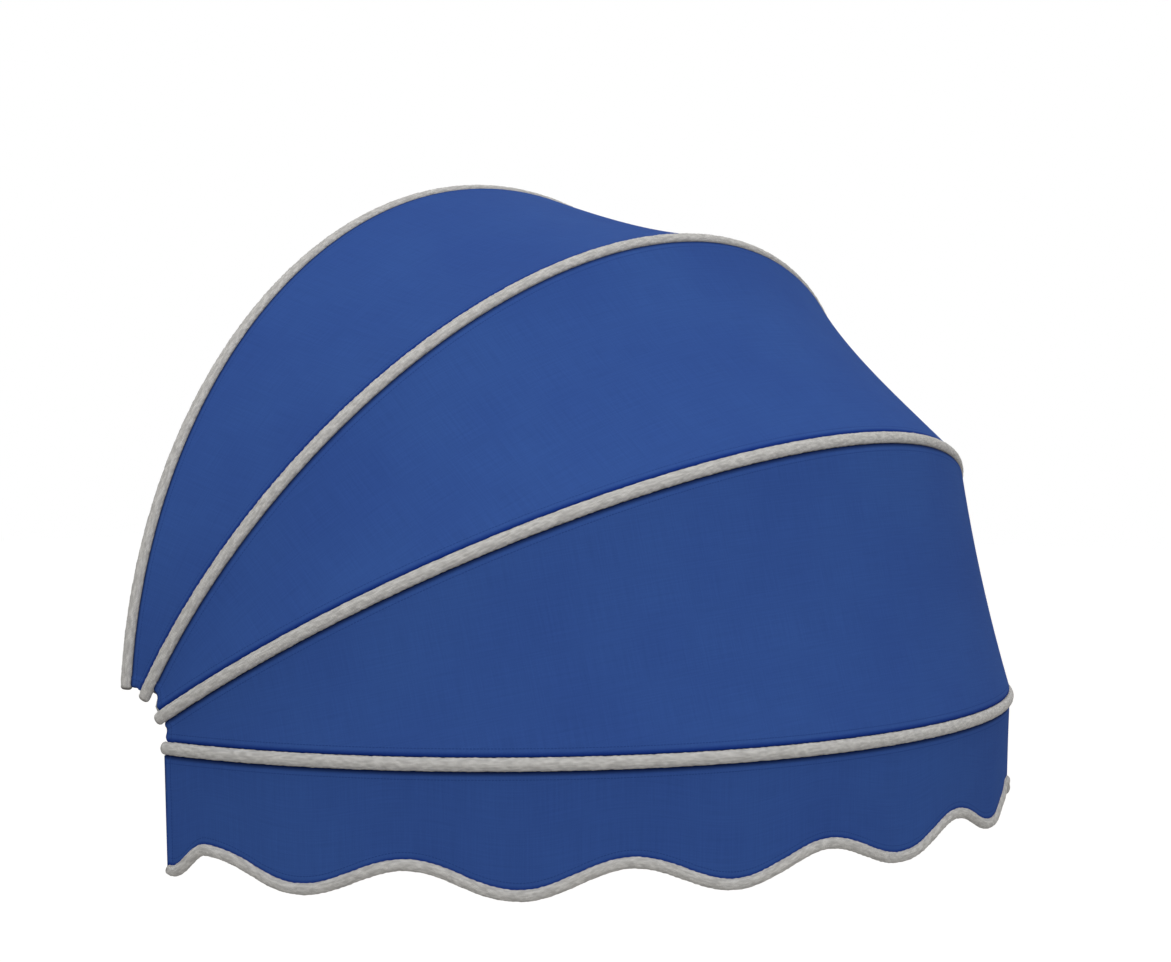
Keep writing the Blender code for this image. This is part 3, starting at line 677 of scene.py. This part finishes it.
def canopyPanel(number):
    # In each section the cloth starts under a bow's braid, comes up round it
    # in a quarter of an oval, turns over a small lip and runs straight to the
    # next bow, pulled in by a parabola. Sections lie side by side along the arc
    low, high = radians(fan["leans"][number]), radians(fan["leans"][number + 1])
    cut = panel["cutOut"][number]
    start = math.asin(min(cut) / panel["level"])
    close = np.array(panel["edgeSteps"]) * 0.001 / panel["level"]
    arcStep = np.concatenate(
        [close, np.linspace(close[-1], math.pi / 2 - start, panel["steps"])[1:]]
    )
    half = np.concatenate([arcStep, (math.pi - 2 * start - arcStep[:-1])[::-1]])
    arc = (start + half)[:, None]
    wide, tall = piping["width"] / 2 + panel["tuck"], piping["height"] / 2 + panel["tuck"]
    turn = np.linspace(0.02, radians(panel["wrap"]), 8)[None]
    above, aside = panel["corner"]
    sides = []
    for lean, way in ((low, 1), (high, -1)):
        under = bowPoint(
            piping["radius"] - tall * np.cos(turn), arc, lean, way * wide * np.sin(turn)
        )
        corner = bowPoint(panel["level"] + above, arc, lean, way * (wide + aside))
        sides.append((under, corner))
    (underLow, cornerLow), (underHigh, cornerHigh) = sides
    direct = unit(cornerHigh - cornerLow)
    flatLow = cornerLow + direct * panel["lip"]
    flatHigh = cornerHigh - direct * panel["lip"]
    q = np.linspace(0, 1, 6)[1:-1][None, :, None]
    bends = [
        (1 - q) ** 2 * under[:, -1:] + 2 * q * (1 - q) * corner + q * q * flat
        for under, corner, flat in (
            (underLow, cornerLow, flatLow),
            (underHigh, cornerHigh, flatHigh),
        )
    ]
    edge = panel["edgeShare"]
    share = np.concatenate([
        np.linspace(0, edge, 4),
        np.linspace(edge, 1 - edge, panel["acrossSteps"])[1:-1],
        np.linspace(1 - edge, 1, 4),
    ])[None, :, None]
    straight = flatLow + (flatHigh - flatLow) * share
    middle = (low + high) / 2
    out = unit(bowPoint(1.0, arc, middle) - centre)
    pull = panel["sag"][number] * np.sin(arc)[..., None] * 4 * share * (1 - share)
    pull = pull * (1 + panel["skew"][number] * (0.5 - share))
    # a little unevenness, as in any stretched cloth
    uneven = panel["uneven"] * np.sin(7 * arc + 2.1 * number) * np.sin(11 * arc + 1.0)
    pull = pull + uneven[..., None] * 4 * share * (1 - share)
    straight = straight - out * pull
    section = np.concatenate(
        [underLow, bends[0], straight, bends[1][:, ::-1], underHigh[:, ::-1]], 1
    )
    # 0 where the upper bow carries the cloth, 1 where the lower one does
    held = underLow.shape[1] + bends[0].shape[1]
    weights = np.concatenate([np.zeros(held), share.ravel(), np.ones(held)])
    weights = weights[None] + np.zeros(section.shape[:2])
    # the cut-out edge follows a cubic through its four places; the move fades
    # along the arc
    dip = np.polyval(np.polyfit([0, 1 / 3, 2 / 3, 1], cut, 3), weights) - min(cut)
    fromEnd = np.minimum(half, half[::-1]) * panel["level"]
    fading = (1 - smooth(fromEnd / panel["edgeEase"]))[:, None]
    inwards = np.where(half < math.pi / 2 - start, 1, -1)[:, None]
    tangent = unit(np.gradient(section, axis=0))
    section = section + tangent * (dip * fading * inwards)[..., None]
    endGap = fromEnd[:, None] + np.zeros(section.shape[:2])
    over = lengthsAlong(section, 1)
    seamGap = np.minimum(over, over[:, -1:] - over)
    thickness = clothThickness(endGap, panel["hemWidth"] + panel["hemStep"])
    obj = shellPiece(
        "canopyPanel" + ("Upper", "Middle", "Lower")[number], section, thickness,
        canvasFinish, {"seamGap": seamGap, "endGap": endGap, "across": weights},
    )
    sizes = [round(float(lengthsAlong(section, axis).max()), 4) for axis in (0, 1)]
    print("panel", number, "area", areaOf(section), "length and width", *sizes)
    return obj


panelNodes = ("canopy_panel_upper", "canopy_panel_middle", "canopy_panel_lower")
for number in range(3):
    obj = canopyPanel(number)
    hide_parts(panelNodes[number])
    weights = np.empty(len(obj.data.vertices), np.float32)
    obj.data.attributes["across"].data.foreach_get("value", weights)
    begin, end = (
        bowPoint(panel["blendRadius"], math.pi / 2, radians(lean))
        for lean in fan["leans"][number : number + 2]
    )
    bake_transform(obj)
print("canopy made")

# Valance and its braid

valance = {
    "radius": 0.8022,
    "drop": 0.1452,        # from the front bow to the middle of the wavy braid
    "wrap": 80,            # degrees it follows the braid's underside
    "free": 0.0008,        # it hangs free this far below that
    "fineShares": (0.12, 0.9),   # of its height: the steps are finer above and below
    "wave": 0.0186,
    "waves": 9,            # over the half circle
    "start": 0.0745,
    # places along the arc near an end, millimetres from it
    "edgeSteps": (0, 0.8, 1.6, 3, 5, 7.5, 9, 10.2, 12, 15),
    "steps": 520,          # from there to the other end
    "lineSteps": 6000,     # along its foot, to measure the length of the braid
    "hemWidth": 0.0092,
    "footSeam": 0.0065,    # from the cloth's lower edge to the seam of the braid
    "lastTrough": 0.084,   # off the axis: the last half wave is drawn in to here
    "lastDepth": 0.9,
    "ripple": 0.0022,      # how far the free edge wanders in and out
    "braidWidth": 0.0150,
    "braidDepth": 0.0110,
    "folded": 0.35,        # share of its height when the canopy is folded
    "flat": (2.40, 0.174), # cut size, with the two end hems
    "flatArea": 0.358,
}


def valanceRipple(arc, depth):
    # the lower the freer: soft upright folds of three unlike lengths
    free = smooth(depth / valance["drop"])
    return valance["ripple"] * free * (
        0.5 * np.sin(18 * arc + 0.6)
        + 0.45 * np.sin(41 * arc + 1.1) * np.sin(3 * arc + 0.4)
        + 0.3 * np.sin(67 * arc) * np.sin(5 * arc + 1.2)
    )


def waveDepth(arc):
    # depth of the braid's middle: a cosine of eighteen times the arc angle. The
    # half wave at each end is drawn in, so that it still ends in a trough
    half = math.pi / (2 * valance["waves"])
    along = half - np.minimum(arc, math.pi - arc)
    drawn = along > 0
    last = half - math.asin(valance["lastTrough"] / valance["radius"])
    turns = along * math.pi / np.where(drawn, last, half)
    high = valance["wave"] * np.where(drawn, valance["lastDepth"], 1.0)
    return valance["drop"] - valance["wave"] + high * (1 - np.cos(turns))


def valancePoint(arc, depth):
    radius = valance["radius"] + valanceRipple(arc, depth)
    point = bowPoint(radius, arc, math.pi / 2)
    point[..., 2] -= depth
    return point


def valanceCloth():
    # sewn into the seam under the front braid: it comes down round the inside
    # of the braid in a quarter of an oval and hangs from there to its wavy foot
    start = math.asin(valance["start"] / valance["radius"])
    close = np.array(valance["edgeSteps"]) * 0.001 / valance["radius"]
    inner = np.linspace(close[-1], math.pi - 2 * start - close[-1], valance["steps"])
    run = np.concatenate([close[:-1], inner, (math.pi - 2 * start - close[:-1])[::-1]])
    arc = (start + run)[:, None]
    wide, tall = piping["width"] / 2 + panel["tuck"], piping["height"] / 2 + panel["tuck"]
    turn = np.linspace(0.05, radians(valance["wrap"]), 7)[None]
    tuck = bowPoint(piping["radius"] - tall * np.cos(turn), arc, math.pi / 2, wide * np.sin(turn))
    upper, lower = valance["fineShares"]
    share = np.concatenate([
        np.linspace(0, upper, 6)[:-1],
        np.linspace(upper, lower, 16),
        np.linspace(lower, 1, 7)[1:],
    ])[None]
    top = wide + valance["free"]
    depth = top + (waveDepth(arc) - top) * share
    grid = np.concatenate([tuck, valancePoint(arc, depth)], 1)
    gap = np.minimum(run, run[::-1]) * valance["radius"]
    endGap = gap[:, None] + np.zeros(grid.shape[:2])
    over = lengthsAlong(grid, 1)
    # measured so that the stitches and the painted seam shade run beside the braid at the top and
    # the foot
    seamGap = np.minimum(over, over[:, -1:] - over + valance["footSeam"])
    across = (over > over[:, -1:] / 2).astype(float)
    thickness = clothThickness(endGap, valance["hemWidth"])
    print("valance area", areaOf(grid), "length", round(float(lengthsAlong(grid, 0).max()), 4))
    return shellPiece(
        "valanceCloth", grid, thickness, canvasFinish,
        {"seamGap": seamGap, "endGap": endGap, "across": across},
    )


cloth = valanceCloth()
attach(cloth, "front_bow_set")
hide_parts("valance")

# the braid's places are even by length, read off a much closer line
start = math.asin(valance["start"] / valance["radius"])
dense = np.linspace(start, math.pi - start, valance["lineSteps"])
line = valancePoint(dense, waveDepth(dense))
run = lengthsAlong(line, 0)
places = endSteps(float(run[-1]), piping["step"])
line = np.stack([np.interp(places, run, line[:, k]) for k in range(3)], -1)
outward = unit((line - centre) * np.array([1, 1, 0]))
foot = braidedCord(
    "valanceBraid", line, outward, valance["braidWidth"], valance["braidDepth"],
    "front_bow_set", "valance_edging",
)
for obj in (cloth, foot):
    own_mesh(obj)
print("valance made")

# Screws

screw = {
    "head": 0.0047,        # half of the pan head
    "height": 0.0028,
    "dome": 0.22,          # share of the height that the top falls towards its rim
    "edge": 0.14,          # share of the half head that is its round edge
    "edgeFall": (0.0003, 0.6),   # it falls this share of the way to this height
    "shank": 0.0025,
    "clear": 0.0003,       # the shank ends this far before the wall
    "recess": 0.0016,
    "above": 0.0015,       # only what is higher than this is sunk
    "arm": 0.0026,         # half the length of the cross
    "slot": 0.00055,       # half the width of its arms
    "slopes": (0.0003, 0.0005),   # widths of the slopes at its sides and its ends
    "face": -0.0036,       # front of the plates that they hold
    "round": 48,
    "clipRadius": 0.754469,   # of the circle on which the clips' screws lie
    "bracketX": 0.73655,   # the brackets' screws, on both sides
    "bracketZ": (-0.672769, -0.626769),
    "pulleyZ": -0.0576,    # middle of the pulley's foot
    "pulleyHalf": 0.02275,   # half the distance of the pulley's two screws
}


def screwGrid(x, z):
    # a pan head turned round its axis: a domed top sunk by a cross, a round
    # edge, a flat underside and the shank down to the wall
    turn = np.linspace(0, 2 * math.pi, screw["round"] + 1)[:-1]
    top = np.linspace(0.00015, screw["head"] * (1 - screw["edge"]), 17)
    dome = screw["height"] * (1 - screw["dome"] * (top / screw["head"]) ** 2)
    edge = np.linspace(0, math.pi / 2, 5)[1:]
    bend = screw["head"] * screw["edge"]
    rimRadius = screw["head"] - bend + bend * np.sin(edge)
    level, fall = screw["edgeFall"]
    rimHeight = dome[-1] - (dome[-1] - level) * (1 - np.cos(edge)) * fall
    foot = screw["face"] + screw["clear"]
    radius = np.concatenate(
        [top, rimRadius, [screw["head"], screw["shank"], screw["shank"], 0.0002]]
    )
    height = np.concatenate([dome, rimHeight, [0.0, 0.0, foot, foot]])
    radius, height = radius[:, None] + 0 * turn, height[:, None] + 0 * turn
    u, v = radius * np.cos(turn), radius * np.sin(turn)
    sideSlope, endSlope = screw["slopes"]
    arms = [
        smooth((screw["slot"] - np.abs(off)) / sideSlope + 0.5)
        * smooth((screw["arm"] - np.abs(out)) / endSlope + 0.5)
        for out, off in ((u, v), (v, u))
    ]
    sunk = np.maximum(*arms) * (height > screw["above"])
    height = height - screw["recess"] * sunk
    return np.stack([x + u, screw["face"] - height, z + v], -1)


clipPlaces = bowPoint(screw["clipRadius"], radians(fan["clipArcs"]), 0.0)
places = {
    "screwClip": [(p[0], p[2]) for p in clipPlaces],
    "screwBracket": [
        (side * screw["bracketX"], z) for side in (-1, 1) for z in screw["bracketZ"]
    ],
    "screwPulley": [(0.0, screw["pulleyZ"] + way * screw["pulleyHalf"]) for way in (-1, 1)],
}
for name, spots in places.items():
    for number, (x, z) in enumerate(spots):
        grid = screwGrid(x, z)
        across = np.zeros((grid.shape[0], grid.shape[1] + 1))
        obj = ringPiece(name + str(number + 1), grid, across, across, zincFinish)
        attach(obj, "wall_frame")
print("screws made")

# Finishes of the fittings

fittings = (
    ("hinge", castFinish), ("wall_clip", castFinish), ("pulley_bracket", castFinish),
    ("bolt", zincFinish), ("nut", zincFinish), ("axle", zincFinish),
    ("washer", nylonFinish), ("eye", nylonFinish), ("wheel", nylonFinish),
)
for obj in bpy.context.scene.objects:
    for word, finish in fittings:
        if "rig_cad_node" in obj and word in obj.name:
            for holder in obj.material_slots:
                holder.material = finish

# Floor, light and camera

stageValues = {
    "floor": -2.1,
    "floorHalf": 30.0,
    "floorGlow": 0.72,     # added for the camera alone, so that the floor looks white
    "floorColour": "#aeaca9",
    "worldLevel": 0.61,    # light from all round, on the object
    "aim": (0, -0.4, -0.5),   # where both lamps point
    "key": (-1.8, -1.8, 4.4, 82.0, 3.2),    # place, watts, width
    "fill": (-2.6, -3.7, 0.2, 23.0, 3.0),
}


def addFloor():
    size, z = stageValues["floorHalf"], stageValues["floor"]
    mesh = bpy.data.meshes.new("floor")
    corners = [(-size, -size, z), (size, -size, z), (size, size, z), (-size, size, z)]
    mesh.from_pydata(corners, [], [(0, 1, 2, 3)])
    obj = bpy.data.objects.new("floor", mesh)
    bpy.context.scene.collection.objects.link(obj)
    finish, tree, shader = newFinish("pale floor", 0.9)
    shader.inputs["Base Color"].default_value = linear(stageValues["floorColour"])
    seen = addNode(tree, "LightPath")
    glow = addNode(
        tree, "Emission", {"Color": (1, 1, 1, 1), "Strength": stageValues["floorGlow"]}
    )
    both = addNode(tree, "AddShader", {0: shader.outputs[0], 1: glow.outputs[0]})
    pick = addNode(
        tree, "MixShader",
        {"Fac": seen.outputs["Is Camera Ray"], 1: shader.outputs[0], 2: both.outputs[0]},
    )
    tree.links.new(pick.outputs[0], tree.nodes["Material Output"].inputs["Surface"])
    mesh.materials.append(finish)


def addWorld():
    world = bpy.data.worlds.new("soft white room")
    bpy.context.scene.world = world
    world.use_nodes = True
    tree = world.node_tree
    seen = addNode(tree, "LightPath")
    direct = worked(tree, "MAXIMUM", seen.outputs["Is Camera Ray"], seen.outputs["Is Glossy Ray"])
    direct = worked(tree, "MAXIMUM", direct, seen.outputs["Is Transmission Ray"])
    back = tree.nodes["Background"]
    back.inputs["Color"].default_value = (1, 1, 1, 1)
    level = ranged(tree, direct, 0.0, 1.0, stageValues["worldLevel"], 1.0)
    tree.links.new(level, back.inputs["Strength"])


def addLamp(name, x, y, z, watts, width):
    lamp = bpy.data.lights.new(name, "AREA")
    lamp.energy, lamp.size = watts, width
    obj = bpy.data.objects.new(name, lamp)
    bpy.context.scene.collection.objects.link(obj)
    back = unit(np.array([x, y, z]) - np.array(stageValues["aim"]))
    right = unit(np.cross([0, 0, 1], back))
    up = np.cross(back, right)
    matrix = np.eye(4)
    matrix[:3] = np.stack([right, up, back, [x, y, z]], -1)
    obj.matrix_world = Matrix(matrix.tolist())
    obj.visible_camera = False


addFloor()
addWorld()
addLamp("softKey", *stageValues["key"])
addLamp("softFill", *stageValues["fill"])

view = {
    "azimuth": -52.5945,   # degrees; 0 looks square at the wall
    "height": 6.4512,      # degrees above the horizontal
    "place": (-2.7374, -2.3106, 0.4611),   # from the common axis, in the unit below
    "unit": 0.802,         # the piping's radius when the camera was fitted
    "sensor": 36.0,        # millimetres, as is the lens
    "lens": 52.84,
    "shift": (-0.0140, 0.1477),
}


def addCamera():
    turn, rise = math.radians(view["azimuth"]), math.radians(view["height"])
    right = np.array([math.cos(turn), math.sin(turn), 0])
    level = math.cos(rise)
    back = np.array([math.sin(turn) * level, -math.cos(turn) * level, math.sin(rise)])
    up = np.cross(back, right)
    place = np.array(view["place"]) * view["unit"] + centre
    data = bpy.data.cameras.new("camera")
    data.sensor_fit, data.sensor_width = "HORIZONTAL", view["sensor"]
    data.lens = view["lens"]
    data.shift_x, data.shift_y = view["shift"]
    obj = bpy.data.objects.new("camera", data)
    bpy.context.scene.collection.objects.link(obj)
    matrix = np.eye(4)
    matrix[:3] = np.stack([right, up, back, place], -1)
    obj.matrix_world = Matrix(matrix.tolist())
    bpy.context.scene.camera = obj


addCamera()
bpy.context.scene.view_settings.view_transform = "Standard"
print("stage made")

bpy.context.view_layer.update()
